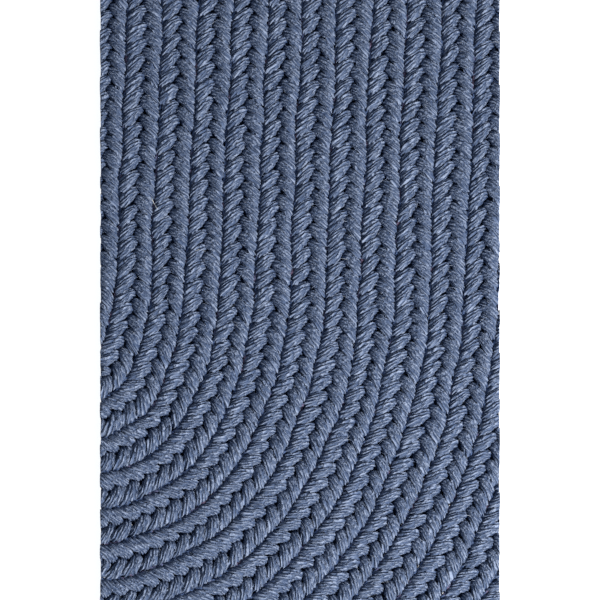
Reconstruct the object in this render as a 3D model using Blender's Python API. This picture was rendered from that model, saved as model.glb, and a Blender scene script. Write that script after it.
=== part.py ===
"""A cut length of braided rug: fifteen rows of three-strand braid, sewn side by side.

Such a rug is wound round and round from its middle, so its rows are parallel curves. Here they
run almost straight down the length and then turn together round the spine, a short bent line
just left of the cut. Each row is a loft of chevron sections, two for each lobe of the braid,
whose left and right lobes are staggered. A box then trims every row to the cut length.
Metres, +Z up, with the origin under the middle of the cut length, on the surface it lies on.
"""

import math
from collections import namedtuple

import bmesh
import bpy

MM = 0.001

# The cut length, along X, Y and Z
CUT_WIDTH = 218 * MM
CUT_LENGTH = 344 * MM
THICKNESS = 9.5 * MM

# The rows, counted outwards from the one that the left edge cuts along its length
ROWS = 15
ROW_PITCH = 19 * MM
ROW_GAP = 0.3 * MM
FIRST_MIDDLE = 0.96 * MM  # from the spine to the middle of the first row

# The spine's corners, and the turn of each run before, between and after them, measured from
# straight down towards the left
CORNERS = ((-111.1 * MM, 3.1 * MM), (-114.4 * MM, -14.0 * MM), (-120.0 * MM, -28.3 * MM))
LEAN = math.radians(2.64)
LAST_TURN = math.radians(100)
TIGHTEST_TURN = 10 * MM  # a row whose middle is nearer the last corner runs straight on there

# The braid's lobes, and how far the next row's lobes lie from this one's, as a share of a lobe
LOBE = 9.1 * MM
STAGGER = 0.618
SECTIONS_PER_LOBE = 2

# Half of a row's section, from its foot to its crown. Each line of it has its place across the
# row and its height, how far it dips between two lobes, and how far it runs ahead of the foot,
# which gives the lobes their slant.
Line = namedtuple("Line", "across height dip ahead")
HALF_WIDTH = (ROW_PITCH - ROW_GAP) / 2
FOOT = Line(7.2 * MM, 0.0, 0.0, 0.0)
SIDE = Line(HALF_WIDTH, 4.3 * MM, 0.0, 0.0)
SHOULDER = Line(8.1 * MM, 7.7 * MM, 1.1 * MM, 1.4 * MM)
CROWN = Line(4.9 * MM, THICKNESS, 2.3 * MM, 3.4 * MM)
# The groove down the middle, which the lobes' tips push to the left and to the right in turn
GROOVE = Line(1.2 * MM, 6.7 * MM, 0.0, 6.8 * MM)

# How far a row is lofted past the cut before it is trimmed, and the trimming box's height
OVERRUN = 16 * MM
BOX_HEIGHT = 40 * MM

YARN_COLOUR = (0.085, 0.115, 0.175)  # slate blue, linear
SHADE_STEP = 0.012  # neighbouring rows differ a little
YARN_ROUGHNESS = 0.9


def clear_scene():
    """Remove every object of the start-up file."""
    for item in list(bpy.data.objects):
        bpy.data.objects.remove(item, do_unlink=True)


def new_collection(name):
    """A collection linked to the scene."""
    collection = bpy.data.collections.new(name)
    bpy.context.scene.collection.children.link(collection)
    return collection


def heading(turn):
    """The direction of a run that has turned by this angle from straight down."""
    return -math.sin(turn), -math.cos(turn)


def outward(turn):
    """The direction away from the spine, square to the run's heading."""
    return math.cos(turn), -math.sin(turn)


def along(point, direction, distance):
    """The point at a distance from another one, in a direction."""
    return point[0] + direction[0] * distance, point[1] + direction[1] * distance


def spine_turns():
    """Each corner with the turn before it, the turn after it and the length of the run after it."""
    turns = [LEAN]
    runs = []
    for (x0, y0), (x1, y1) in zip(CORNERS, CORNERS[1:]):
        turns.append(math.atan2(x0 - x1, y0 - y1))
        runs.append(math.hypot(x1 - x0, y1 - y0))
    return list(zip(CORNERS, turns, turns[1:] + [LAST_TURN], runs + [0.0]))


def row_middle(radius, distance):
    """The point on a row's middle line, and the turn there.

    radius is the row's distance from the spine. distance runs along the row from the first
    corner, and is negative up the straight. Round a corner the row is an arc of that radius.
    """
    corner, turn = CORNERS[0], LEAN
    if distance > 0:
        for corner, before, after, run in spine_turns():
            turn = after
            if corner == CORNERS[-1] and radius < TIGHTEST_TURN:
                turn = before
                break
            arc = radius * (after - before)
            if distance < arc:
                turn = before + distance / radius
                return along(corner, outward(turn), radius), turn
            distance -= arc
            if distance < run:
                break
            distance -= run
    foot = along(corner, outward(turn), radius)
    return along(foot, heading(turn), distance), turn


def place(radius, distance, across, height):
    """A point of a row, at a distance along it, across it from its middle, and up."""
    middle, turn = row_middle(radius, distance)
    x, y = along(middle, outward(turn), across)
    return x, y, height


def section(radius, distance, left_is_back):
    """One closed chevron section of a row: its right side up, the groove, its left side down.

    left_is_back says that the section runs over the back of a left lobe, and so through the
    dip between two right ones. The chevron points back up the row, against the distance.
    """

    def point(line, side):
        dips = line.dip if left_is_back == (side > 0) else 0.0
        return place(radius, distance - line.ahead, side * line.across, line.height - dips)

    half = (FOOT, SIDE, SHOULDER, CROWN)
    right = [point(line, 1) for line in half]
    left = [point(line, -1) for line in reversed(half)]
    groove = point(GROOVE, 1 if left_is_back else -1)
    return right + [groove] + left


def row_distances(radius, phase):
    """Where a row's sections stand: every half lobe, from just above the cut to just past it."""
    step = LOBE / SECTIONS_PER_LOBE
    near_x = CUT_WIDTH / 2 + OVERRUN
    near_y = CUT_LENGTH / 2 + OVERRUN
    first = -int((CUT_LENGTH + OVERRUN) / step)
    last = int((CUT_LENGTH + radius * LAST_TURN) / step)
    inside = []
    for i in range(first, last):
        distance = (i + phase * SECTIONS_PER_LOBE) * step
        (x, y), _ = row_middle(radius, distance)
        if abs(x) < near_x and abs(y) < near_y:
            inside.append((i, distance))
    return inside


def loft(rings):
    """A closed mesh through closed rings of points, with both ends capped."""
    mesh = bmesh.new()
    levels = [[mesh.verts.new(point) for point in ring] for ring in rings]
    count = len(rings[0])
    for low, high in zip(levels, levels[1:]):
        for i in range(count):
            j = (i + 1) % count
            mesh.faces.new((low[i], low[j], high[j], high[i]))
    mesh.faces.new(levels[0][::-1])
    mesh.faces.new(levels[-1])
    bmesh.ops.triangulate(mesh, faces=mesh.faces)
    bmesh.ops.recalc_face_normals(mesh, faces=mesh.faces)
    return mesh


def yarn_material(name, number):
    """The yarn's matt slate blue, a little lighter or darker from row to row."""
    material = bpy.data.materials.new(name)
    material.use_nodes = True
    shader = material.node_tree.nodes["Principled BSDF"]
    shade = (number % 3 - 1) * SHADE_STEP
    shader.inputs["Base Color"].default_value = (*(c + shade for c in YARN_COLOUR), 1)
    shader.inputs["Roughness"].default_value = YARN_ROUGHNESS
    shader.inputs["Metallic"].default_value = 0
    return material


def trimming_box(collection):
    """The box that every row is trimmed to."""
    bpy.ops.mesh.primitive_cube_add(size=1)
    box = bpy.context.active_object
    box.name = "cut_length_box"
    box.scale = (CUT_WIDTH, CUT_LENGTH, BOX_HEIGHT)
    box.hide_render = True
    box.display_type = "WIRE"
    for holder in list(box.users_collection):
        holder.objects.unlink(box)
    collection.objects.link(box)
    return box


def braid_row(number, box, collection):
    """One row of braid, lofted past the cut and trimmed by the box."""
    name = f"braid_row_{number:02d}"
    radius = FIRST_MIDDLE + number * ROW_PITCH
    rings = [
        section(radius, distance, i % SECTIONS_PER_LOBE == 0)
        for i, distance in row_distances(radius, number * STAGGER % 1)
    ]
    lofted = loft(rings)
    mesh = bpy.data.meshes.new(name)
    lofted.to_mesh(mesh)
    lofted.free()
    mesh.materials.append(yarn_material(f"{name}_yarn", number))
    row = bpy.data.objects.new(name, mesh)
    collection.objects.link(row)
    trim = row.modifiers.new("Trim to the cut length", "BOOLEAN")
    trim.operation = "INTERSECT"
    trim.solver = "EXACT"
    trim.object = box
    return row


def main():
    """Build the fifteen rows."""
    clear_scene()
    rows = new_collection("braided_rug")
    cutters = new_collection("cutters")
    box = trimming_box(cutters)
    for number in range(ROWS):
        braid_row(number, box, rows)


main()
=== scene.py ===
"""The looks of a cut length of braided rug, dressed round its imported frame.

The rug is one long three-strand braid, wound round and sewn to itself. Each row of the cut
length is three plied strands plaited together, and each strand is a bundle of yarns. A dark
sewing thread laces every row to the next. All lengths are in metres, in the frame's own axes.
"""

from __future__ import annotations

import logging
import math
from dataclasses import dataclass, field
from enum import Enum

import bmesh
import bpy
import numpy as np
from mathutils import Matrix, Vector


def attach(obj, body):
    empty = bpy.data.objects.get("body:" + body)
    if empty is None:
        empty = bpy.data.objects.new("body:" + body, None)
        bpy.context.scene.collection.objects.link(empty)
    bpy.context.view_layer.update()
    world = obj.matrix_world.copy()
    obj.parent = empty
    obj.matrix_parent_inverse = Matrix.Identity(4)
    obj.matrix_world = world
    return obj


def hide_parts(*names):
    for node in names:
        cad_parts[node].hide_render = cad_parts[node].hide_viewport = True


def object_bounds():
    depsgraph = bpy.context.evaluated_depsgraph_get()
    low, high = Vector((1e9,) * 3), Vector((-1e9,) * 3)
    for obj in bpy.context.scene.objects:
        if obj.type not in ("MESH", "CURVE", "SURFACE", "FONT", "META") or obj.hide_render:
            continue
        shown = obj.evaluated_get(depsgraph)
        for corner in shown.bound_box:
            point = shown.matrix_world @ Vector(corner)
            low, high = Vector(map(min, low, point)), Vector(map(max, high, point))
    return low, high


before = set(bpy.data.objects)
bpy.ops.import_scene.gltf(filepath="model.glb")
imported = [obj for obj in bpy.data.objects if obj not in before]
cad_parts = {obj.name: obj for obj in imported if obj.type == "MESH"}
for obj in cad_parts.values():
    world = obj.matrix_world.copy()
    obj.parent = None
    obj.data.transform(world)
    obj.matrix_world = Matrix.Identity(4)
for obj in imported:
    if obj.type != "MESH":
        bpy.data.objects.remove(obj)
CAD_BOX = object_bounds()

MM = 0.001
LOG = logging.getLogger("braided_rug")
MIDDLE_HEIGHT = 4.75 * MM  # of the plane through the rug's middle
DISH_DEPTH = 0.3 * MM  # of the caps on cut strands
CRUMB_FACES = 70  # an island of fewer faces is a crumb
ON_THE_CUT = 1e-7  # a corner this near a cut counts as lying on it
TINY = 1e-9  # added to a length that is divided by, in case it is nought


# ---------------------------------------------------------------- how the rows run


def heading(turn: np.ndarray | float) -> np.ndarray:
    """The direction (-sin, -cos) of a run that has turned this far from straight down."""
    return np.stack([-np.sin(turn), -np.cos(turn)], axis=-1)


def outward(turn: np.ndarray | float) -> np.ndarray:
    """The direction (cos, -sin) that leads away from the spine, square to the heading."""
    return np.stack([np.cos(turn), -np.sin(turn)], axis=-1)


@dataclass(frozen=True)
class Spine:
    """The short bent line that all rows turn round, just left of the cut."""

    corners: tuple[tuple[float, float], ...] = (
        (-111.1 * MM, 3.1 * MM),
        (-114.4 * MM, -14.0 * MM),
        (-120.0 * MM, -28.3 * MM),
    )
    lean: float = math.radians(2.64)
    last_turn: float = math.radians(100)
    tightest: float = 10 * MM
    far: float = 1.0

    def turns(self) -> list[float]:
        """The turns of the spine's runs.

        Returns:
            The turn of the run before each corner, and the turn after the last one.
        """
        found = [self.lean]
        for (x0, y0), (x1, y1) in zip(self.corners, self.corners[1:]):
            found.append(math.atan2(x0 - x1, y0 - y1))
        return found + [self.last_turn]

    def marks(self, radius: float) -> tuple[list[float], np.ndarray, list[float]]:
        """Where a line at a radius starts and stops turning.

        Round a corner the foot point on the spine stays and the line turns, and along a run the
        foot moves.

        Args:
            radius: How far the line lies from the spine.

        Returns:
            The distances of the marks along the line, the foot point at each, and the turn.
        """
        turns = self.turns()
        first = np.array(self.corners[0])
        marks, feet, bends = [-self.far], [first - self.far * heading(self.lean)], [self.lean]
        at, last = 0.0, len(self.corners) - 1
        for i, corner in enumerate(np.array(self.corners)):
            marks.append(at)
            feet.append(corner)
            bends.append(turns[i])
            if i == last and radius < self.tightest:
                marks.append(at + self.far)
                feet.append(corner + self.far * heading(turns[i]))
                bends.append(turns[i])
                break
            at += radius * (turns[i + 1] - turns[i])
            marks.append(at)
            feet.append(corner)
            bends.append(turns[i + 1])
            if i < last:
                at += float(np.linalg.norm(np.array(self.corners[i + 1]) - corner))
        return marks, np.array(feet), bends

    def middle(self, radius: float, distance: np.ndarray) -> tuple[np.ndarray, np.ndarray]:
        """A row's middle line: the spine's foot point plus the radius times the outward way.

        Both the foot point and the turn change evenly with distance between the marks.

        Args:
            radius: How far the row's middle lies from the spine.
            distance: Places along the row from the first corner, negative up the straight.

        Returns:
            The points, with a last axis of x and y, and the turn at each.
        """
        marks, feet, bends = self.marks(radius)
        turn = np.interp(distance, marks, bends)
        foot = [np.interp(distance, marks, feet[:, k]) for k in (0, 1)]
        return np.stack(foot, axis=-1) + radius * outward(turn), turn

    def beside(self, radius: float, other: float, distance: np.ndarray) -> np.ndarray:
        """Distances along one line, carried square across to another line.

        Args:
            radius: How far the first line lies from the spine.
            other: How far the second one does.
            distance: Places along the first line.

        Returns:
            The places beside them along the second line.
        """
        here, there = self.marks(radius)[0], self.marks(other)[0]
        shared = min(len(here), len(there))
        return np.interp(distance, here[:shared], there[:shared])


@dataclass(frozen=True)
class Cut:
    """The rectangle that the length was cut to, read from the frame's box."""

    low: tuple[float, float]
    high: tuple[float, float]

    def sides(self) -> list[tuple[tuple[float, float], tuple[float, float]]]:
        """The rectangle's sides.

        Returns:
            Each side as a point on it and its outward direction.
        """
        return [
            (self.low, (-1.0, 0.0)),
            (self.low, (0.0, -1.0)),
            (self.high, (1.0, 0.0)),
            (self.high, (0.0, 1.0)),
        ]

    def near(self, points: np.ndarray, margin: float) -> np.ndarray:
        """Which points lie inside the rectangle grown by a margin."""
        inside = (points > np.array(self.low) - margin) & (points < np.array(self.high) + margin)
        return inside.all(axis=-1)


# ---------------------------------------------------------------- meshes from grids


def soft_noise(
    rng: np.random.Generator, spacing: float, at: np.ndarray, lanes: int = 1
) -> np.ndarray:
    """Smooth random values along a line: random heights joined by cosine-eased ramps.

    Args:
        rng: The seeded source.
        spacing: The distance between heights, in the units of at.
        at: Where the values are wanted, rising from about 0.
        lanes: How many independent lines of values to make.

    Returns:
        Values from -1 to 1, of shape (places, lanes), or (places,) for a single lane.
    """
    place = at / spacing
    heights = rng.uniform(-1, 1, (int(place.max()) + 3, lanes))
    low = np.floor(place).astype(int)
    ease = (0.5 - 0.5 * np.cos(np.pi * (place - low)))[:, None]
    values = heights[low] * (1 - ease) + heights[low + 1] * ease
    return values[:, 0] if lanes == 1 else values


def tube_mesh(name: str, grid: np.ndarray, around: np.ndarray, along: np.ndarray) -> bpy.types.Mesh:
    """A closed tube from a grid of rings, with both ends capped.

    Args:
        name: The mesh's name.
        grid: Points of shape (rings, around, 3), each ring clockwise as seen from its first side.
        around: The yarn map's U at each column and once more after the last, where it closes.
        along: The yarn map's V at each ring.

    Returns:
        The mesh, with a UV map named yarn.
    """
    rings, columns, _ = grid.shape
    index = np.arange(rings * columns).reshape(rings, columns)
    right = np.roll(index, -1, axis=1)
    quads = np.stack([index[:-1], index[1:], right[1:], right[:-1]], axis=-1).reshape(-1, 4)
    u0, v0 = np.meshgrid(around[:-1], along[:-1])
    u1, v1 = np.meshgrid(around[1:], along[1:])
    uv = np.stack([np.stack(p, axis=-1) for p in ((u0, v0), (u0, v1), (u1, v1), (u1, v0))], axis=2)
    caps = np.concatenate([index[0], index[-1][::-1]])
    loops = np.concatenate([quads.ravel(), caps])
    starts = np.concatenate([np.arange(len(quads)) * 4, [quads.size, quads.size + columns]])
    mesh = bpy.data.meshes.new(name)
    mesh.vertices.add(rings * columns)
    mesh.vertices.foreach_set("co", grid.astype(np.float32).ravel())
    mesh.loops.add(len(loops))
    mesh.loops.foreach_set("vertex_index", loops.astype(np.int32))
    mesh.polygons.add(len(starts))
    mesh.polygons.foreach_set("loop_start", starts.astype(np.int32))
    mesh.polygons.foreach_set("use_smooth", np.ones(len(starts), bool))
    layer = mesh.uv_layers.new(name="yarn")
    flat = np.zeros((len(loops), 2), np.float32)
    flat[: quads.size] = uv.reshape(-1, 2)
    layer.data.foreach_set("uv", flat.ravel())
    mesh.update(calc_edges=True)
    mesh.validate()
    return mesh


def trim(mesh: bpy.types.Mesh, cut: Cut, back: float, cap_material: int) -> None:
    """Cut a closed mesh off at the sides of the rectangle and close each cut with a shallow dish.

    A strand that turns over at the cut can cross its own outline there. The dish's faces meet in
    one sunken point, so that those that overlap don't share a plane.

    Args:
        mesh: The mesh, changed in place.
        cut: The rectangle.
        back: How far inside the rectangle this mesh ends, so that no two caps share a plane.
        cap_material: The material slot of the caps.
    """
    work = bmesh.new()
    work.from_mesh(mesh)
    for (x, y), (nx, ny) in cut.sides():
        plane = (x - nx * back, y - ny * back, 0.0)
        reach = max((v.co.x - plane[0]) * nx + (v.co.y - plane[1]) * ny for v in work.verts)
        if reach < 0:
            continue
        everything = work.verts[:] + work.edges[:] + work.faces[:]
        done = bmesh.ops.bisect_plane(
            work, geom=everything, dist=ON_THE_CUT, plane_co=plane, plane_no=(nx, ny, 0),
            clear_outer=True,
        )
        rim = [e for e in done["geom_cut"] if isinstance(e, bmesh.types.BMEdge)]
        caps = bmesh.ops.edgeloop_fill(work, edges=rim)["faces"]
        for face in caps:
            if not face.edges[0].is_contiguous:
                face.normal_flip()
        for face in bmesh.ops.poke(work, faces=caps, offset=-DISH_DEPTH)["faces"]:
            face.smooth = False
            face.material_index = cap_material
        if not work.verts:
            break
    sweep(work)
    work.to_mesh(mesh)
    work.free()


def sweep(work: bmesh.types.BMesh) -> None:
    """Remove the crumbs that a cut leaves: islands with too few faces to be seen.

    Args:
        work: The mesh, changed in place.
    """
    left = set(work.faces)
    crumbs = []
    while left:
        island = [left.pop()]
        for face in island:
            beside = {near for edge in face.edges for near in edge.link_faces} & left
            left -= beside
            island.extend(beside)
        if len(island) < CRUMB_FACES:
            crumbs += island
    bmesh.ops.delete(work, geom=crumbs, context="FACES")


def join(name: str, meshes: list[bpy.types.Mesh]) -> bpy.types.Mesh:
    """One mesh from several.

    Args:
        name: The new mesh's name.
        meshes: The meshes, which are removed.

    Returns:
        The mesh.
    """
    work = bmesh.new()
    for mesh in meshes:
        work.from_mesh(mesh)
    joined = bpy.data.meshes.new(name)
    work.to_mesh(joined)
    work.free()
    for mesh in meshes:
        bpy.data.meshes.remove(mesh)
    return joined


def corners(mesh: bpy.types.Mesh) -> np.ndarray:
    """A mesh's corners.

    Args:
        mesh: The mesh.

    Returns:
        The points, of shape (corners, 3).
    """
    places = np.zeros(len(mesh.vertices) * 3, np.float32)
    mesh.vertices.foreach_get("co", places)
    return places.reshape(-1, 3)


def ring_angles(columns: int) -> np.ndarray:
    """Even angles round a ring, one for each of its columns."""
    return 2 * np.pi * np.arange(columns) / columns


def add_piece(mesh: bpy.types.Mesh, *materials: bpy.types.Material) -> bpy.types.Object:
    """Put a mesh into the scene as an object of the same name.

    Args:
        mesh: The mesh.
        materials: What its material slots hold.

    Returns:
        The object.
    """
    for material in materials:
        mesh.materials.append(material)
    piece = bpy.data.objects.new(mesh.name, mesh)
    bpy.context.scene.collection.objects.link(piece)
    return piece


# ---------------------------------------------------------------- the braid


class Side(Enum):
    """A row's left or right seam, with the sign of its place across the row."""

    LEFT = -1
    RIGHT = 1


@dataclass(frozen=True)
class Bundle:
    """A strand's section: a flattened bundle of yarns, a superellipse with a ridge for each."""

    half_width: float = 4.0 * MM
    half_thickness: float = 2.35 * MM
    squareness: float = 2.5  # 2 is an ellipse
    yarns: int = 10
    per_yarn: int = 4  # points of a ring
    ridge: float = 0.52 * MM  # how far a yarn stands out of the outline
    uneven: float = 0.50 * MM  # how far it swells and thins
    uneven_length: float = 2.4 * MM
    wander: float = 0.32  # how far it strays round the outline, in yarns
    wander_length: float = 4.5 * MM
    table: int = 721  # points that the outline's length is measured with
    enlarged: float = 1.06  # the outline's length over an ellipse's

    @property
    def columns(self) -> int:
        """How many points a ring has."""
        return self.yarns * self.per_yarn

    def outline(self, share: np.ndarray) -> tuple[np.ndarray, np.ndarray]:
        """Points of the superellipse at shares of its length.

        Across and through follow sign times |cos| or |sin| to the power 2 / squareness. A fine
        table of the outline's length turns shares of it into places.

        Args:
            share: How far round each point lies, as a share of the whole outline.

        Returns:
            The places across the width and through the thickness, shaped like share.
        """
        angle = np.linspace(0, 2 * np.pi, self.table)
        power = 2 / self.squareness
        across = self.half_width * np.sign(np.cos(angle)) * np.abs(np.cos(angle)) ** power
        through = self.half_thickness * np.sign(np.sin(angle)) * np.abs(np.sin(angle)) ** power
        steps = np.hypot(np.diff(across), np.diff(through))
        length = np.concatenate([[0], np.cumsum(steps)]) / steps.sum()
        return np.interp(share % 1.0, length, across), np.interp(share % 1.0, length, through)

    def sections(
        self, rng: np.random.Generator, run: np.ndarray, twist: float
    ) -> tuple[np.ndarray, np.ndarray]:
        """A ring of points for each place along a strand, with a ridge over every yarn.

        Each yarn wanders round the outline and swells and thins along its length, both by its
        own smooth noise. The whole bundle is twisted, by the run times the twist's tangent.

        Args:
            rng: The seeded source.
            run: Places along the strand.
            twist: The angle between the yarns and the strand.

        Returns:
            The places across the width and through the thickness, each (rings, columns).
        """
        column = np.arange(self.columns)
        yarn = column // self.per_yarn
        wander = soft_noise(rng, self.wander_length, run, self.yarns)[:, yarn]
        turned = run * math.tan(twist) / self.girth()
        wander = wander * self.wander / self.yarns + turned[:, None]
        a, b = self.outline(column / self.columns + wander)
        uneven = soft_noise(rng, self.uneven_length, run, self.yarns)[:, yarn] * self.uneven
        ridge = self.ridge * np.cos(2 * np.pi * column / self.per_yarn)
        grown = 1 + (ridge + uneven) / np.hypot(a, b)
        return a * grown, b * grown

    def girth(self) -> float:
        """The outline's length, near enough: that of an ellipse, a little enlarged."""
        a, b = self.half_width, self.half_thickness
        return self.enlarged * math.pi * (3 * (a + b) - math.sqrt((3 * a + b) * (a + 3 * b)))


@dataclass(frozen=True)
class Plait:
    """How three strands cross: each one swings across the row and bobs twice in that time.

    Across is swing times the sine of the phase, and height is the middle less bob times the
    sine of twice the phase. A strand thus lies on top while it comes in from either side and
    underneath while it goes out, and one swing takes three lobes of the row. Near the row's
    middle the height runs a little ahead of the swing, so the strands dive early there. A field
    ending in _beat is the distance between a noise's heights, in lobes.
    """

    swing: float = 6.85 * MM
    bob: float = 2.6 * MM
    pinch: float = 0.30  # how much narrower a strand is at the row's middle, as a share
    flatten: float = 0.35  # how much thinner it is there
    narrow_side: float = -0.06  # how much narrower it is at the row's sides
    thick_side: float = 0.26  # how much thicker it is there
    onset: int = 3  # a power: how late on the way there these changes come
    steepness: float = 2.4
    early: float = 0.05
    lobe: float = 9.1 * MM
    middle: float = MIDDLE_HEIGHT
    strands: int = 3
    steps: int = 24  # rings of a strand in one swing over and back
    gather: float = 0.5
    twist: float = math.radians(-1)
    side: float = 9.72 * MM  # from the row's middle to its seam
    side_soft: float = 0.5 * MM
    chevron: float = 0.33
    chevron_soft: float = 1.0 * MM
    reach: float = 0.6 * MM
    reach_width: float = 4.5 * MM
    reach_rise: float = 3.0 * MM
    left_tip: float = 0.63  # the place of a left lobe's tip, in lobes
    wobble: float = 0.95 * MM  # how far a seam strays
    wobble_length: float = 20 * MM
    jitter: float = 0.2  # of the phase
    jitter_beat: float = 1.7
    swing_uneven: float = 0.03
    swing_beat: float = 1.3
    bob_uneven: float = 0.08
    bob_beat: float = 1.1
    swell: float = 0.09
    swell_beat: float = 0.9
    overrun: float = 22 * MM  # how far past the cut a strand is built

    @property
    def period(self) -> float:
        """The length of row in which a strand swings over and back."""
        return self.lobe * self.strands

    def gathered(self, up: np.ndarray, phase0: float) -> np.ndarray:
        """Even places up a row, moved so that they lie closer at the sides and the middle.

        The place is moved back by the gather times the sine of four times the phase, over four.

        Args:
            up: Even places up the row.
            phase0: The strand's phase at nought.

        Returns:
            The places, still rising.
        """
        phase = 2 * np.pi * up / self.period + phase0
        return up - self.gather * np.sin(4 * phase) / 4 * self.period / (2 * np.pi)

    def climb(self, phase: np.ndarray) -> np.ndarray:
        """The sine of twice the phase, made steep where it crosses nought and flat at its crests.

        It is the hyperbolic tangent of steepness times the sine, over that of steepness alone.
        The phase is first moved on by early times its cosine squared.

        Args:
            phase: The phase of the swing.

        Returns:
            Values from -1 to 1.
        """
        ahead = phase + self.early * np.cos(phase) ** 2
        return np.tanh(self.steepness * np.sin(2 * ahead)) / math.tanh(self.steepness)

    def reaching(self, local: np.ndarray, stagger: float) -> np.ndarray:
        """Let the lobes' tips reach over the row's middle line, from the left and right in turn.

        The move across is the reach times the cosine of the place up the row, counted in lobes
        from a left tip, times the height above the middle over the rise, up to 1, and times a
        bell curve over the row's middle.

        Args:
            local: Points of the straight row, of shape (rings, columns, 3).
            stagger: How far this row's lobes lie from the first row's, in lobes.

        Returns:
            The moved points.
        """
        wave = np.cos(2 * np.pi * (local[..., 1] / self.lobe + stagger - self.left_tip))
        crown = np.clip((local[..., 2] - self.middle) / self.reach_rise, 0, 1)
        moved = local.copy()
        moved[..., 0] += self.reach * wave * crown * np.exp(-((local[..., 0] / self.reach_width) ** 2))
        return moved

    def pointed(self, local: np.ndarray) -> np.ndarray:
        """Draw the lobes out into chevrons: the top is moved up the row and the foot down it.

        The move is the chevron's slope times how far a point lies in from the side, times its
        height from the middle over the middle's own height. Being in from the side is softened
        over the row's middle, by a root of squares.

        Args:
            local: Points of the straight row, of shape (rings, columns, 3).

        Returns:
            The moved points.
        """
        inward = self.side - np.sqrt(local[..., 0] ** 2 + self.chevron_soft**2)
        share = (local[..., 2] - self.middle) / self.middle
        moved = local.copy()
        moved[..., 1] += self.chevron * inward * share
        return moved

    def pressed(self, across: np.ndarray) -> np.ndarray:
        """Flatten a row's sides where the next rows press on them.

        Past a soft start, the place across runs towards the side like one less a falling
        exponential.

        Args:
            across: Places across the row from its middle.

        Returns:
            The pressed places.
        """
        start = self.side - self.side_soft
        over = np.maximum(np.abs(across) - start, 0)
        held = start + self.side_soft * (1 - np.exp(-over / self.side_soft))
        return np.where(over > 0, np.sign(across) * held, across)


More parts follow.
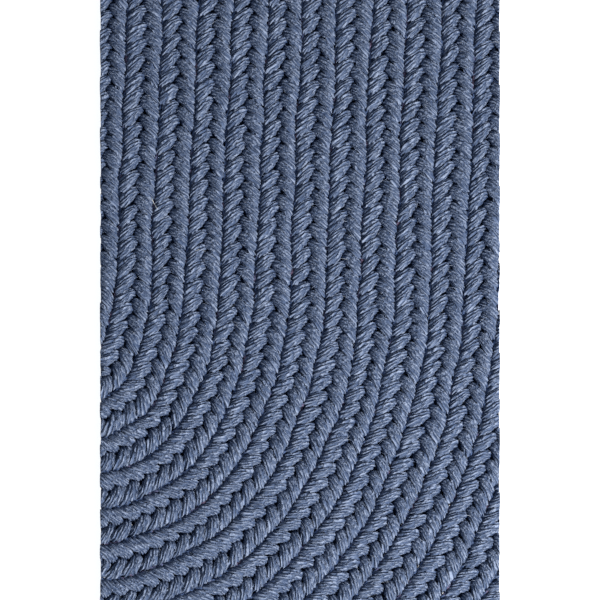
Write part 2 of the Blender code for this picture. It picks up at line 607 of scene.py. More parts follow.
@dataclass(frozen=True)
class YarnRow:
    """One row of braid: its number from the left, its place from the spine, and its build."""

    number: int
    radius: float
    stagger: float
    spine: Spine
    cut: Cut
    plait: Plait
    bundle: Bundle
    seed: int = 4100
    row_seeds: int = 10  # seeds between one row's and the next one's
    seam_seeds: int = 7  # and between two seams'
    search: tuple[float, float, float] = (-0.5, 1.2, 0.002)  # distances tried: from, to, step
    clearance: float = 0.03 * MM  # above the floor
    cap_step: float = 0.22 * MM  # how much further in each strand's cut ends lie
    map_step: float = 40.0  # yarns between two strands' places on the yarn map

    @property
    def node(self) -> str:
        """The frame's node that this row stands for."""
        return f"braid_row_{self.number:02d}"

    def stretch(self) -> tuple[float, float]:
        """Find the part of the row that lies near the cut.

        Returns:
            The first and the last distance along the row.
        """
        tries = np.arange(*self.search)
        points, _ = self.spine.middle(self.radius, tries)
        inside = tries[self.cut.near(points, self.plait.overrun)]
        return float(inside[0]), float(inside[-1])

    def strand(self, order: int) -> bpy.types.Mesh:
        """One strand of the row as a closed tube, from before the cut to past it.

        In the straight row, a ring stands at each place up the row. Its middle follows the
        plait. Its thickness points along the plait's own side-to-side motion turned a quarter,
        so the flat bundle turns over at each side of the row. The row is then bent round the
        spine, with the way up the row against the distance along it.

        Args:
            order: Which of the strands, counted from 0.

        Returns:
            The mesh, not yet trimmed.
        """
        plait, bundle = self.plait, self.bundle
        rng = np.random.default_rng(self.seed + self.row_seeds * self.number + order)
        first, last = self.stretch()
        step = plait.period / plait.steps
        phase0 = 2 * np.pi * (self.stagger + order) / plait.strands - np.pi / 2
        up = plait.gathered(np.arange(-last, -first, step), phase0)
        lobes = (up - up[0]) / plait.lobe
        drift = plait.jitter * soft_noise(rng, plait.jitter_beat, lobes)
        phase = 2 * np.pi * up / plait.period + phase0 + drift
        swing = plait.swing * (1 + plait.swing_uneven * soft_noise(rng, plait.swing_beat, lobes))
        bob = plait.bob * (1 + plait.bob_uneven * soft_noise(rng, plait.bob_beat, lobes))
        across = swing * np.sin(phase)
        height = plait.middle - bob * plait.climb(phase)
        slope = np.stack([np.gradient(across, up), np.ones_like(up), np.gradient(height, up)], -1)
        ahead = slope / np.linalg.norm(slope, axis=1)[:, None]
        thick = np.stack([-slope[:, 2], np.zeros_like(up), slope[:, 0]], -1)
        thick /= np.linalg.norm(thick, axis=1)[:, None]
        wide = np.cross(ahead, thick)
        run = np.concatenate([[0], np.cumsum(np.hypot(np.diff(across), np.diff(up)))])
        a, b = bundle.sections(rng, run, plait.twist)
        crossing = (0.5 + 0.5 * np.cos(2 * phase)) ** plait.onset
        turning = (0.5 - 0.5 * np.cos(2 * phase)) ** plait.onset
        size = 1 + plait.swell * soft_noise(rng, plait.swell_beat, lobes)
        a *= (size - plait.pinch * crossing - plait.narrow_side * turning)[:, None]
        b *= (size - plait.flatten * crossing + plait.thick_side * turning)[:, None]
        local = (
            np.stack([across, up, height], -1)[:, None, :]
            + a[..., None] * wide[:, None, :]
            + b[..., None] * thick[:, None, :]
        )
        grid = self.bent(local)
        u = np.arange(bundle.columns + 1) / bundle.per_yarn + self.map_step * order
        return tube_mesh(f"{self.node}_strand_{order}", grid, u, run)

    def bent(self, local: np.ndarray) -> np.ndarray:
        """Bend points of the straight row round the spine, and keep them on the floor.

        Args:
            local: The points, of shape (rings, columns, 3): across, up the row, and height.

        Returns:
            The bent points.
        """
        local = self.plait.pointed(self.plait.reaching(local, self.stagger))
        points, turn = self.spine.middle(self.radius, -local[..., 1])
        across = self.plait.pressed(local[..., 0])
        share = 0.5 + 0.5 * across / self.plait.side
        left, right = (self.wobble(side, -local[..., 1]) for side in Side)
        across = across + left * (1 - share) + right * share
        flat = points + across[..., None] * outward(turn)
        return np.concatenate([flat, np.maximum(local[..., 2:], self.clearance)], axis=-1)

    def wobble(self, side: Side, distance: np.ndarray) -> np.ndarray:
        """How far a seam strays from its even curve, the same for the rows on both sides of it.

        Args:
            side: Which of the row's seams.
            distance: Places along the row's middle.

        Returns:
            The seam's shift outwards at each place.
        """
        seam = self.number + (side is Side.RIGHT)
        radius = self.radius + side.value * self.plait.side
        along = self.spine.beside(self.radius, max(radius, self.spine.tightest), distance)
        rng = np.random.default_rng(self.seed + self.seam_seeds * seam)
        noise = soft_noise(rng, self.plait.wobble_length, (along + self.spine.far).ravel())
        return self.plait.wobble * noise.reshape(along.shape)

    def build(self, yarn: bpy.types.Material, ends: bpy.types.Material) -> bpy.types.Object:
        """The trimmed row.

        Args:
            yarn: The yarn's material.
            ends: The material of its cut ends.

        Returns:
            The object.
        """
        strands = []
        for order in range(self.plait.strands):
            mesh = self.strand(order)
            trim(mesh, self.cut, self.cap_step * order, 1)
            if len(mesh.vertices):
                strands.append(mesh)
        return add_piece(join(self.node + "_plait", strands), yarn, ends)


@dataclass(frozen=True)
class Lacing:
    """The thread that laces two neighbouring rows, a thick plied thread snaking down in the seam."""

    half_width: float = 1.2 * MM
    half_height: float = 1.2 * MM
    height: float = 6.1 * MM
    snake: float = 0.6 * MM
    bob: float = 0.5 * MM
    bob_rate: float = 1.7  # rises for each turn of the snaking
    inset: float = 0.1 * MM  # from the seam
    plies: float = 3.0
    end: float = 0.7 * MM  # how far inside the cut it stops
    step: float = 1.5 * MM
    columns: int = 6

    def mesh(self, row: YarnRow) -> bpy.types.Mesh:
        """The thread in a row's right seam, as a closed tube.

        It snakes from side to side as a sine with the lobe's length, and rises and sinks as
        another at a length that is not in step with it.

        Args:
            row: The row on the seam's left.

        Returns:
            The mesh, not yet trimmed.
        """
        first, last = row.stretch()
        up = np.arange(-last, -first, self.step)
        swing = 2 * np.pi * (up / row.plait.lobe + row.stagger)
        across = row.plait.side - self.inset + self.snake * np.sin(swing)
        height = self.height + self.bob * np.sin(self.bob_rate * swing)
        angle = ring_angles(self.columns)
        local = np.stack([
            across[:, None] + self.half_width * np.cos(angle),
            np.repeat(up[:, None], self.columns, axis=1),
            height[:, None] + self.half_height * np.sin(angle),
        ], axis=-1)
        points, turn = row.spine.middle(row.radius, -local[..., 1])
        aside = local[..., 0] + row.wobble(Side.RIGHT, -local[..., 1])
        flat = points + aside[..., None] * outward(turn)
        grid = np.concatenate([flat, local[..., 2:]], axis=-1)
        around = self.plies * np.arange(self.columns + 1) / self.columns
        return tube_mesh(f"lacing_{row.number:02d}", grid, around, up - up[0])

    def build(self, row: YarnRow, thread: bpy.types.Material) -> bpy.types.Object | None:
        """The trimmed thread in a row's right seam.

        Args:
            row: The row on the seam's left.
            thread: The material.

        Returns:
            The object, or None where the cut leaves nothing of it.
        """
        mesh = self.mesh(row)
        trim(mesh, row.cut, self.end, 0)
        return add_piece(mesh, thread) if mesh.vertices else None


@dataclass(frozen=True)
class Fluff:
    """The short loose fibres that stand off the yarns, strewn over the rows' tops."""

    count: int = 2600
    length: tuple[float, float] = (1.6 * MM, 4.2 * MM)
    radius: float = 0.07 * MM
    rise: float = 0.7 * MM
    least_rise: float = 0.2  # as a share of the rise
    lowest: float = 6.5 * MM  # no fibre is rooted below it
    span: float = 1.1 * MM  # only edges longer than this hold a root
    sink: float = 0.1 * MM  # how deep it is rooted
    arch: float = 0.8  # the share of a half sine that it rises along
    taper: float = 0.5  # the share of its radius lost towards its tip
    sway: float = 0.9
    rings: int = 5
    columns: int = 3
    seed: int = 77

    def roots(self, rows: list[bpy.types.Object]) -> tuple[np.ndarray, np.ndarray]:
        """Random places on the rows' upper faces, and the way that each yarn runs there.

        The long edges of the meshes run along the yarns.

        Args:
            rows: The finished rows.

        Returns:
            The points, and the directions, both of shape (count, 3).
        """
        rng = np.random.default_rng(self.seed)
        points, ways = [], []
        for row in rows:
            mesh = row.data
            places = corners(mesh)
            edges = np.zeros(len(mesh.edges) * 2, np.int32)
            mesh.edges.foreach_get("vertices", edges)
            edges = edges.reshape(-1, 2)
            starts, ends = places[edges[:, 0]], places[edges[:, 1]]
            span = np.linalg.norm(ends - starts, axis=1)
            high = (starts[:, 2] > self.lowest) & (ends[:, 2] > self.lowest)
            found = np.flatnonzero(high & (span > self.span))
            points.append(starts[found])
            ways.append((ends - starts)[found] / span[found, None])
        chosen = rng.choice(sum(map(len, points)), self.count, replace=False)
        return np.concatenate(points)[chosen], np.concatenate(ways)[chosen]

    def grid(self, rows: list[bpy.types.Object]) -> np.ndarray:
        """Every fibre as a row of small rings.

        A fibre follows its yarn, sways aside by its own random amount times the share along it
        squared, and rises as most of a half sine.

        Args:
            rows: The finished rows.

        Returns:
            Points of shape (fibres, rings, columns, 3).
        """
        rng = np.random.default_rng(self.seed + 1)
        root, way = self.roots(rows)
        many = len(root)
        length = rng.uniform(*self.length, many)[:, None, None]
        turn = rng.normal(0, self.sway, many)[:, None, None]
        lift = rng.uniform(self.least_rise, 1.0, many)[:, None] * self.rise
        flat = way * (1, 1, 0)
        flat /= np.linalg.norm(flat, axis=1)[:, None] + TINY
        aside = np.cross((0, 0, 1), flat)
        share = np.linspace(0, 1, self.rings)[None, :, None]
        line = root[:, None, :] + length * (share * flat[:, None, :])
        line = line + length * turn * share**2 * aside[:, None, :]
        line[..., 2] += lift * np.sin(np.pi * share[..., 0] * self.arch) - self.sink
        angle = ring_angles(self.columns)
        thin = self.radius * (1 - self.taper * share)
        ring = (np.cos(angle)[None, None, :, None] * aside[:, None, None, :]
                + np.sin(angle)[None, None, :, None] * np.array((0.0, 0.0, 1.0)))
        return line[:, :, None, :] + thin[..., None] * ring

    def build(self, rows: list[bpy.types.Object], cut: Cut,
              fibre: bpy.types.Material) -> bpy.types.Object:
        """All the loose fibres as one object.

        Args:
            rows: The finished rows.
            cut: The rectangle, which no fibre leaves.
            fibre: Their material.

        Returns:
            The object.
        """
        grid = self.grid(rows)
        inside = cut.near(grid[..., :2], 0.0).all(axis=(1, 2))
        grid = grid[inside]
        many, rings, columns, _ = grid.shape
        index = np.arange(many * rings * columns).reshape(many, rings, columns)
        right = np.roll(index, -1, axis=2)
        quads = np.stack([index[:, :-1], right[:, :-1], right[:, 1:], index[:, 1:]], axis=-1)
        faces = quads.reshape(-1, 4).tolist()
        faces += index[:, 0, ::-1].tolist() + index[:, -1].tolist()
        mesh = bpy.data.meshes.new("loose_fibres")
        mesh.from_pydata(grid.reshape(-1, 3), [], faces)
        return add_piece(mesh, fibre)


@dataclass(frozen=True)
class StrayFibre:
    """One long pale fibre that has settled on the rows: a bow between two ends.

    Its three control points are places on the floor plan, and it lies on the yarns below it.
    """

    name: str
    start: tuple[float, float]
    bend: tuple[float, float]
    end: tuple[float, float]
    radius: float = 0.15 * MM
    feel: float = 1.5 * MM  # how far from it a yarn can hold it up
    around: float = 12 * MM  # corners further from its middle are passed over
    smooth: int = 5  # places averaged along it
    taper: float = 0.6  # the share of its radius lost at its ends
    rings: int = 18
    columns: int = 6

    def bed(self, flat: np.ndarray, rows: list[bpy.types.Object]) -> np.ndarray:
        """How high the yarns stand under each place of the fibre.

        It is the highest corner of any row's mesh within reach of the place, averaged with its
        neighbours' because a fibre is too stiff to follow every yarn.

        Args:
            flat: Places of shape (rings, 2).
            rows: The finished rows.

        Returns:
            The height at each place.
        """
        tops = []
        for row in rows:
            points = corners(row.data)
            near = np.abs(points[:, :2] - flat.mean(axis=0)).max(axis=1) < self.around
            points = points[near]
            apart = np.linalg.norm(flat[:, None, :] - points[None, :, :2], axis=-1)
            heights = np.where(apart < self.feel, points[None, :, 2], 0.0)
            tops.append(heights.max(axis=1, initial=0.0))
        top = np.pad(np.max(tops, axis=0), self.smooth // 2, mode="edge")
        return np.convolve(top, np.full(self.smooth, 1 / self.smooth), mode="valid")

    def build(self, rows: list[bpy.types.Object], fibre: bpy.types.Material) -> bpy.types.Object:
        """The fibre as a thin closed tube along a quadratic curve, tapered towards its ends.

        Args:
            rows: The finished rows.
            fibre: Its material.

        Returns:
            The object.
        """
        share = np.linspace(0, 1, self.rings)[:, None]
        start, bend, end = (np.array(point) for point in (self.start, self.bend, self.end))
        flat = (1 - share) ** 2 * start + 2 * share * (1 - share) * bend + share**2 * end
        height = self.bed(flat, rows) + self.radius
        way = np.gradient(flat, axis=0)
        way /= np.linalg.norm(way, axis=1)[:, None]
        aside = np.stack([way[:, 1], -way[:, 0], np.zeros(self.rings)], axis=-1)
        angle = ring_angles(self.columns)
        ring = np.cos(angle)[:, None] * aside[:, None, :] + np.sin(angle)[:, None] * (0.0, 0.0, 1.0)
        thin = self.radius * (1 - self.taper * np.abs(2 * share - 1) ** 3)
        grid = np.concatenate([flat, height[:, None]], axis=-1)[:, None, :] + thin[:, None] * ring
        around = np.linspace(0, 1, self.columns + 1)
        return add_piece(tube_mesh(self.name, grid, around, share[:, 0]), fibre)


STRAY_FIBRES = (
    StrayFibre(
        name="stray_fibre_0",
        start=(-81.0 * MM, 57.0 * MM),
        bend=(-80.6 * MM, 53.4 * MM),
        end=(-77.2 * MM, 49.2 * MM),
    ),
    StrayFibre(
        name="stray_fibre_1",
        start=(-57.2 * MM, 26.6 * MM),
        bend=(-53.6 * MM, 28.4 * MM),
        end=(-51.6 * MM, 26.4 * MM),
        radius=0.10 * MM,
    ),
)


# ---------------------------------------------------------------- finishes


class Wiring:
    """A shader tree under construction, with short calls for adding and joining nodes."""

    def __init__(self, tree: bpy.types.NodeTree) -> None:
        """Start on a tree."""
        self.tree = tree

    def add(self, kind: str, settings: dict | None = None, **sockets: object) -> bpy.types.Node:
        """A node of a kind, with settings as attributes and sockets by name.

        Args:
            kind: The node's type without its leading word.
            settings: Attributes to set.
            sockets: Values or sockets for the inputs, with _ in place of a blank in a name.

        Returns:
            The node.
        """
        node = self.tree.nodes.new("ShaderNode" + kind)
        for name, value in (settings or {}).items():
            setattr(node, name, value)
        for name, value in sockets.items():
            self.feed(node.inputs[name.replace("_", " ")], value)
        return node

    def group(self, tree: bpy.types.NodeTree, **sockets: object) -> bpy.types.Node:
        """A node that holds a node group, fed like any other."""
        return self.add("Group", {"node_tree": tree}, **sockets)

    def feed(self, socket: bpy.types.NodeSocket, value: object) -> None:
        """Link or set one input.

        Args:
            socket: The input.
            value: A socket to link to it, or its value.
        """
        if isinstance(value, bpy.types.NodeSocket):
            self.tree.links.new(value, socket)
        else:
            socket.default_value = value

    def maths(self, operation: str, *values: object) -> bpy.types.NodeSocket:
        """The result of a Math node.

        Args:
            operation: What the node does.
            values: One to three values or sockets.

        Returns:
            The result's socket.
        """
        node = self.tree.nodes.new("ShaderNodeMath")
        node.operation = operation
        for socket, value in zip(node.inputs, values):
            self.feed(socket, value)
        return node.outputs[0]

    def blend(self, share: object, first: object, second: object) -> bpy.types.NodeSocket:
        """A colour between two.

        Args:
            share: How much of the second colour there is, from 0 to 1.
            first: The colour at 0.
            second: The colour at 1.

        Returns:
            The colour's socket.
        """
        node = self.tree.nodes.new("ShaderNodeMix")
        node.data_type = "RGBA"
        # the node's colour sockets share their names with others, so they go by number
        self.feed(node.inputs[0], share)
        self.feed(node.inputs[6], first)
        self.feed(node.inputs[7], second)
        return node.outputs[2]

    def spread(self, value: object, low: float, high: float, to_low: float = 0.0,
               to_high: float = 1.0) -> bpy.types.NodeSocket:
        """A value moved from one range to another, with a smooth step between.

        Args:
            value: The value.
            low: The start of its range.
            high: The end of its range.
            to_low: What the start becomes.
            to_high: What the end becomes.

        Returns:
            The moved value's socket.
        """
        node = self.add("MapRange", {"interpolation_type": "SMOOTHSTEP"}, Value=value)
        for socket, number in zip(node.inputs[1:5], (low, high, to_low, to_high)):
            socket.default_value = number
        return node.outputs[0]

    def bump(self, shader: bpy.types.Node, height: bpy.types.NodeSocket, relief: float) -> None:
        """Bump a shader's normal by a height from 0 to 1 times a relief."""
        node = self.add("Bump", Height=height, Strength=1.0, Distance=relief)
        self.feed(shader.inputs["Normal"], node.outputs[0])


def new_material(name: str, **sockets: object) -> tuple[bpy.types.Material, Wiring, bpy.types.Node]:
    """A material with values set on its shader's own sockets.

    Args:
        name: The material's name.
        sockets: Values for the shader's inputs, with _ in place of a blank in a name.

    Returns:
        The material, the wiring of its tree, and its shader.
    """
    made = bpy.data.materials.new(name)
    made.use_nodes = True
    wiring = Wiring(made.node_tree)
    shader = made.node_tree.nodes["Principled BSDF"]
    for key, value in sockets.items():
        wiring.feed(shader.inputs[key.replace("_", " ")], value)
    return made, wiring, shader


class PliedYarn:
    """The node group that all yarn and thread share: how light a place on a yarn is, and how high.

    Yarn counts yarns across and Along is in metres. Crest is a raised cosine over each yarn.
    The plies are a slanted sine along it, started at random on each yarn. Two noises stretched
    along the yarn give its fibres and its slow changes of shade. The lightness falls in the
    valleys between yarns and between plies, which is painted shade. Four of the values below are
    ranges: the low and high of what is read, and the lightness at either.
    """

    NAME = "plied_yarn"
    # the first two ranges darken the valleys between yarns and between plies: painted shade
    CREST_SHADE = (0.0, 0.8, 0.6, 1.0)
    PLY = (0.0, 1.0, 0.6, 1.05)
    FIBRES = (0.32, 0.66, 0.45, 1.28)
    SHADE = (0.3, 0.7, 0.7, 1.15)
    FIBRE_HEIGHT = (0.25, 0.75)
    PLY_HEIGHT = 0.5
    START_TURNS = 7.0
    SHADE_TURNS = 1.5
    SHADE_APART = 3.7
    FIBRES_APART = 2.9
    GRAIN = {"Scale": 1.0, "Detail": 2.0, "Roughness": 0.6}

    @classmethod
    def tree(cls) -> bpy.types.NodeTree:
        """The group, built once."""
        return bpy.data.node_groups.get(cls.NAME) or cls.build()

    @classmethod
    def build(cls) -> bpy.types.NodeTree:
        """Make the group and its sockets.

        Returns:
            The group.
        """
        tree = bpy.data.node_groups.new(cls.NAME, "ShaderNodeTree")
        for name in ("Yarn", "Along", "Ply Length", "Slant", "Fibre Length", "Shade Length"):
            tree.interface.new_socket(name=name, in_out="INPUT", socket_type="NodeSocketFloat")
        for name in ("Lightness", "Height"):
            tree.interface.new_socket(name=name, in_out="OUTPUT", socket_type="NodeSocketFloat")
        wiring = Wiring(tree)
        given = tree.nodes.new("NodeGroupInput").outputs
        made = tree.nodes.new("NodeGroupOutput").inputs
        u, v = given["Yarn"], given["Along"]
        crest = wiring.maths("COSINE", wiring.maths("MULTIPLY", u, 2 * math.pi))
        crest = wiring.maths("MULTIPLY_ADD", crest, 0.5, 0.5)
        yarn = wiring.maths("ROUND", u)
        off = wiring.maths("SUBTRACT", u, yarn)
        start = wiring.add("TexWhiteNoise", {"noise_dimensions": "1D"}, W=yarn).outputs[0]
        long = wiring.add("CombineXYZ", X=wiring.maths("MULTIPLY", yarn, cls.SHADE_APART),
                          Y=wiring.maths("DIVIDE", v, given["Shade Length"])).outputs[0]
        shade = wiring.add("TexNoise", Vector=long, **cls.GRAIN).outputs[0]
        turns = wiring.maths("DIVIDE", v, given["Ply Length"])
        turns = wiring.maths("MULTIPLY_ADD", start, cls.START_TURNS, turns)
        turns = wiring.maths("MULTIPLY_ADD", off, given["Slant"], turns)
        turns = wiring.maths("MULTIPLY_ADD", shade, cls.SHADE_TURNS, turns)
        fine = wiring.add("CombineXYZ", X=wiring.maths("MULTIPLY", u, cls.FIBRES_APART),
                          Y=wiring.maths("DIVIDE", v, given["Fibre Length"])).outputs[0]
        fibres = wiring.add("TexNoise", Vector=fine, **cls.GRAIN).outputs[0]
        turns = wiring.maths("ADD", fibres, turns)
        ply = wiring.maths("SINE", wiring.maths("MULTIPLY", turns, 2 * math.pi))
        ply = wiring.maths("MULTIPLY_ADD", ply, 0.5, 0.5)
        # lower lightness in the yarns' valleys and the plies' grooves is painted shade
        light = wiring.spread(crest, *cls.CREST_SHADE)
        for value, reach in ((ply, cls.PLY), (fibres, cls.FIBRES), (shade, cls.SHADE)):
            light = wiring.maths("MULTIPLY", light, wiring.spread(value, *reach))
        rough = wiring.spread(fibres, *cls.FIBRE_HEIGHT)
        height = wiring.maths("MULTIPLY_ADD", ply, cls.PLY_HEIGHT, rough)
        wiring.feed(made["Lightness"], light)
        wiring.feed(made["Height"], height)
        return tree

    @classmethod
    def laid(cls, wiring: Wiring, **sockets: float) -> bpy.types.bpy_prop_collection:
        """The group's outputs on the map named yarn: U counts yarns and V is metres along.

        Args:
            wiring: Where the group goes.
            sockets: Values for its other inputs, with _ in place of a blank in a name.

        Returns:
            The outputs.
        """
        place = wiring.add("UVMap", {"uv_map": "yarn"}).outputs[0]
        parts = wiring.add("SeparateXYZ", Vector=place).outputs
        return wiring.group(cls.tree(), Yarn=parts[0], Along=parts[1], **sockets).outputs


@dataclass(frozen=True)
class YarnFinish:
    """Heather yarn in slate blue: plied, with paler fibres on top, painted shade of near navy between
    yarns and darker painted shade in the rug's creases.
    """

    # the first two colours are painted shade: between yarns, and in the creases near the rug's middle
    # height
    shadow: tuple[float, float, float] = (0.008, 0.022, 0.072)
    crease_shade: tuple[float, float, float] = (0.012, 0.034, 0.105)
    body: tuple[float, float, float] = (0.082, 0.115, 0.196)
    pale: tuple[float, float, float] = (0.242, 0.290, 0.398)
    body_range: tuple[float, float] = (0.0, 0.4)
    pale_range: tuple[float, float] = (0.35, 1.0)
    roughness: float = 0.85
    sheen: float = 0.12
    sheen_roughness: float = 0.5
    sheen_tint: tuple[float, float, float] = (0.35, 0.48, 0.80)
    specular: float = 0.08
    specular_tint: tuple[float, float, float] = (0.45, 0.62, 1.0)
    ply_length: float = 3.8 * MM
    slant: float = -1.3
    fibre_length: float = 1.3 * MM
    shade_length: float = 5.0 * MM
    middle: float = MIDDLE_HEIGHT
    # how much painted shade darkens the creases, and the heights over which it fades
    painted_shade: float = 0.85  # the creases' share of the colour at the middle
    painted_shade_range: tuple[float, float] = (0.5 * MM, 3.8 * MM)  # from the middle, where it fades out
    relief: float = 1.0 * MM

    def material(self, name: str) -> bpy.types.Material:
        """The yarn's material.

        Painted shade in the creases: the yarn darkens from the rug's faces towards the plane
        through its middle.

        Args:
            name: The material's name.

        Returns:
            The material.
        """
        made, wiring, shader = new_material(
            name, Roughness=self.roughness, Sheen_Weight=self.sheen,
            Sheen_Roughness=self.sheen_roughness, Sheen_Tint=(*self.sheen_tint, 1),
            Specular_IOR_Level=self.specular, Specular_Tint=(*self.specular_tint, 1),
        )
        yarn = PliedYarn.laid(
            wiring, Ply_Length=self.ply_length, Slant=self.slant,
            Fibre_Length=self.fibre_length, Shade_Length=self.shade_length,
        )
        place = wiring.add("TexCoord").outputs["Object"]
        height = wiring.add("SeparateXYZ", Vector=place).outputs[2]
        # painted shade: darker nearer the plane through the rug's middle
        from_middle = wiring.maths("ABSOLUTE", wiring.maths("SUBTRACT", height, self.middle))
        painted_shade = wiring.spread(from_middle, *self.painted_shade_range, self.painted_shade, 0.0)
        body, pale = (
            wiring.spread(yarn["Lightness"], *reach) for reach in (self.body_range, self.pale_range)
        )
        # low lightness takes the shadow colour: painted shade between yarns and plies
        colour = wiring.blend(body, (*self.shadow, 1), (*self.body, 1))
        colour = wiring.blend(pale, colour, (*self.pale, 1))
        # the crease colour laid over it is painted shade in the creases
        colour = wiring.blend(painted_shade, colour, (*self.crease_shade, 1))
        wiring.feed(shader.inputs["Base Color"], colour)
        wiring.bump(shader, yarn["Height"], self.relief)
        return made


@dataclass(frozen=True)
class ThreadFinish:
    """The lacing thread: near navy, with reddish brown stretches where the dye has worn off."""

    navy: tuple[float, float, float] = (0.050, 0.078, 0.155)
    brown: tuple[float, float, float] = (0.105, 0.075, 0.120)
    worn: float = 9 * MM
    worn_range: tuple[float, float] = (0.52, 0.68)
    light_range: tuple[float, float, float, float] = (0.0, 0.8, 0.4, 1.6)
    roughness: float = 0.8
    specular: float = 0.15
    ply_length: float = 2.0 * MM
    slant: float = 1.0
    fibre_length: float = 1.0 * MM
    shade_length: float = 4.0 * MM
    relief: float = 0.25 * MM

    def material(self, name: str) -> bpy.types.Material:
        """The thread's material.

        Args:
            name: The material's name.

        Returns:
            The material.
        """
        made, wiring, shader = new_material(
            name, Roughness=self.roughness, Specular_IOR_Level=self.specular
        )
        yarn = PliedYarn.laid(
            wiring, Ply_Length=self.ply_length, Slant=self.slant,
            Fibre_Length=self.fibre_length, Shade_Length=self.shade_length,
        )
        place = wiring.add("TexCoord").outputs["Object"]
        patches = wiring.add("TexNoise", Vector=place, Scale=1 / self.worn, Detail=2.0).outputs[0]
        worn = wiring.spread(patches, *self.worn_range)
        base = wiring.blend(worn, (*self.navy, 1), (*self.brown, 1))
        # the group's lightness holds painted shade in the grooves between the thread's plies
        light = wiring.spread(yarn["Lightness"], *self.light_range)
        bright = wiring.add("MixRGB", {"blend_type": "MULTIPLY"}, Fac=1.0, Color1=base, Color2=light)
        wiring.feed(shader.inputs["Base Color"], bright.outputs[0])
        wiring.bump(shader, yarn["Height"], self.relief)
        return made


@dataclass(frozen=True)
class FibreFinish:
    """The loose fibres: pale blue to nearly cream, changing from place to place."""

    plain: tuple[float, float, float] = (0.200, 0.260, 0.400)
    cream: tuple[float, float, float] = (0.520, 0.540, 0.560)
    cream_range: tuple[float, float] = (0.45, 0.75)
    patch: float = 3 * MM
    roughness: float = 0.6

    def material(self, name: str) -> bpy.types.Material:
        """The fibres' material.

        Args:
            name: The material's name.

        Returns:
            The material.
        """
        made, wiring, shader = new_material(name, Roughness=self.roughness)
        place = wiring.add("TexCoord").outputs["Object"]
        noise = wiring.add("TexNoise", Vector=place, Scale=1 / self.patch, Detail=1.0).outputs[0]
        share = wiring.spread(noise, *self.cream_range)
        colour = wiring.blend(share, (*self.plain, 1), (*self.cream, 1))
        wiring.feed(shader.inputs["Base Color"], colour)
        return made


STRAY_FINISH = FibreFinish(plain=(0.50, 0.51, 0.50), cream=(0.66, 0.66, 0.62))


@dataclass(frozen=True)
class CutFinish:
    """The cut ends of the yarns: round tufts packed together, darker between them."""

    dark: tuple[float, float, float] = (0.030, 0.045, 0.080)
    light: tuple[float, float, float] = (0.200, 0.250, 0.355)
    yarn: float = 1.2 * MM
    tuft_range: tuple[float, float] = (0.55, 0.05)
    fuzz_scale: float = 3500.0
    fuzz_range: tuple[float, float, float, float] = (0.3, 0.7, 0.5, 1.1)
    roughness: float = 0.95
    relief: float = 0.4 * MM

    def material(self, name: str) -> bpy.types.Material:
        """The ends' material, a pattern of round cells at the yarn's size.

        Args:
            name: The material's name.

        Returns:
            The material.
        """
        made, wiring, shader = new_material(name, Roughness=self.roughness)
        place = wiring.add("TexCoord").outputs["Object"]
        cells = wiring.add("TexVoronoi", Vector=place, Scale=1 / self.yarn)
        tuft = wiring.spread(cells.outputs["Distance"], *self.tuft_range)
        fuzz = wiring.add("TexNoise", Vector=place, Scale=self.fuzz_scale, Detail=2.0).outputs[0]
        light = wiring.maths("MULTIPLY", tuft, wiring.spread(fuzz, *self.fuzz_range))
        colour = wiring.blend(light, (*self.dark, 1), (*self.light, 1))
        wiring.feed(shader.inputs["Base Color"], colour)
        wiring.bump(shader, light, self.relief)
        return made


# ---------------------------------------------------------------- the studio


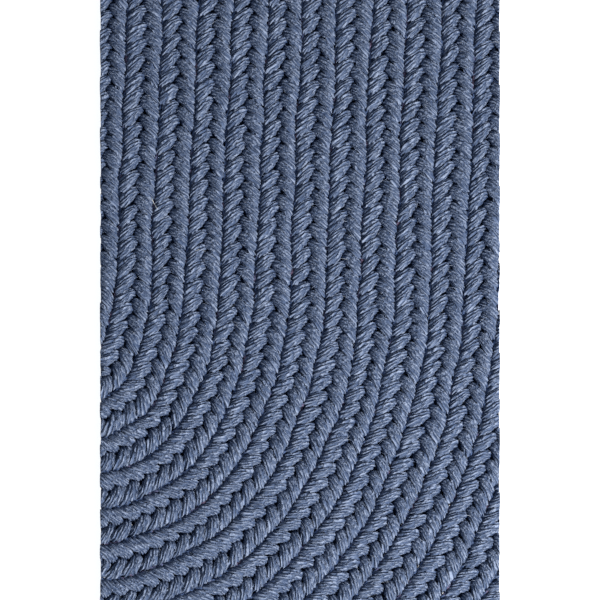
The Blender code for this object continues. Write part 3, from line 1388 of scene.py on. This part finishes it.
@dataclass(frozen=True)
class Studio:
    """A pale floor, a soft key light from the lower right, an even fill and the camera above."""

    frame_width: float = 327 * MM
    camera_height: float = 1.6
    sensor: float = 36 * MM
    focus_height: float = 8 * MM
    key_place: tuple[float, float, float] = (0.85, -0.61, 0.94)
    key_size: float = 0.25
    key_power: float = 35.5
    key_colour: tuple[float, float, float] = (1.0, 0.985, 0.965)
    fill: float = 0.35
    fill_colour: tuple[float, float, float] = (0.88, 0.98, 1.14)
    floor_side: float = 6.0
    floor_colour: tuple[float, float, float] = (0.86, 0.86, 0.86)
    floor_roughness: float = 0.9
    floor_glow: float = 0.80
    clip: tuple[float, float] = (0.05, 20.0)

    def floor(self) -> None:
        """The plain pale floor that the rug lies on, a light table, so it stays white in shadow."""
        bpy.ops.mesh.primitive_plane_add(size=self.floor_side)
        floor = bpy.context.active_object
        floor.name = "floor"
        made, _, _ = new_material(
            "pale_floor", Base_Color=(*self.floor_colour, 1), Roughness=self.floor_roughness,
            Emission_Color=(1, 1, 1, 1), Emission_Strength=self.floor_glow,
        )
        floor.data.materials.append(made)

    def lights(self) -> None:
        """The key light and the even fill from all round."""
        lamp = bpy.data.lights.new("key", "AREA")
        lamp.energy = self.key_power
        lamp.size = self.key_size
        lamp.color = self.key_colour
        key = bpy.data.objects.new("key", lamp)
        key.location = self.key_place
        key.rotation_euler = (-key.location).to_track_quat("-Z", "Y").to_euler()
        bpy.context.scene.collection.objects.link(key)
        world = bpy.data.worlds.new("studio")
        world.use_nodes = True
        back = world.node_tree.nodes["Background"]
        back.inputs["Color"].default_value = (*self.fill_colour, 1)
        back.inputs["Strength"].default_value = self.fill
        bpy.context.scene.world = world

    def camera(self) -> None:
        """The camera straight above the middle, with the photo's width in its frame."""
        data = bpy.data.cameras.new("camera")
        data.sensor_width = self.sensor / MM
        reach = self.camera_height - self.focus_height
        data.lens = data.sensor_width * reach / self.frame_width
        data.clip_start, data.clip_end = self.clip
        camera = bpy.data.objects.new("camera", data)
        camera.location = (0, 0, self.camera_height)
        bpy.context.scene.collection.objects.link(camera)
        bpy.context.scene.camera = camera
        bpy.context.scene.view_settings.view_transform = "Standard"


# ---------------------------------------------------------------- the rug


@dataclass(frozen=True)
class BraidedRug:
    """The cut length: fifteen rows, a pitch apart, from the one that the left edge cuts."""

    rows: int = 15
    pitch: float = 19 * MM
    first_middle: float = 0.96 * MM
    stagger: float = 0.618
    spine: Spine = field(default_factory=Spine)
    plait: Plait = field(default_factory=Plait)
    bundle: Bundle = field(default_factory=Bundle)
    lacing: Lacing = field(default_factory=Lacing)
    fluff: Fluff = field(default_factory=Fluff)
    strays: tuple[StrayFibre, ...] = STRAY_FIBRES

    def cut(self) -> Cut:
        """The rectangle of the frame's box."""
        low, high = CAD_BOX
        return Cut((low[0], low[1]), (high[0], high[1]))

    def build(self) -> None:
        """Make every row, dress it, hide the frame's row in its place and tie it to the rug's body."""
        yarn = YarnFinish().material("heather_yarn")
        ends = CutFinish().material("cut_yarn_ends")
        thread = ThreadFinish().material("lacing_thread")
        loose = FibreFinish().material("loose_fibre")
        pale = STRAY_FINISH.material("stray_fibre")
        cut = self.cut()
        pieces = []
        for number in range(self.rows):
            row = YarnRow(
                number=number,
                radius=self.first_middle + number * self.pitch,
                stagger=number * self.stagger % 1,
                spine=self.spine,
                cut=cut,
                plait=self.plait,
                bundle=self.bundle,
            )
            piece = row.build(yarn, ends)
            pieces.append(piece)
            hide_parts(row.node)
            self.tie(piece)
            laced = self.lacing.build(row, thread)
            if laced:
                self.tie(laced)
        self.tie(self.fluff.build(pieces, cut, loose))
        for stray in self.strays:
            self.tie(stray.build(pieces, pale))

    def tie(self, piece: bpy.types.Object) -> None:
        """Tie a piece to the rug's one body, and report it.

        Args:
            piece: The piece.
        """
        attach(piece, "root")
        LOG.info("%s: %d faces", piece.name, len(piece.data.polygons))


def main() -> None:
    """Build the studio and the rug in order."""
    logging.basicConfig(level=logging.INFO, format="%(message)s")
    studio = Studio()
    studio.camera()
    studio.lights()
    studio.floor()
    BraidedRug().build()


if __name__ == "__main__":
    main()
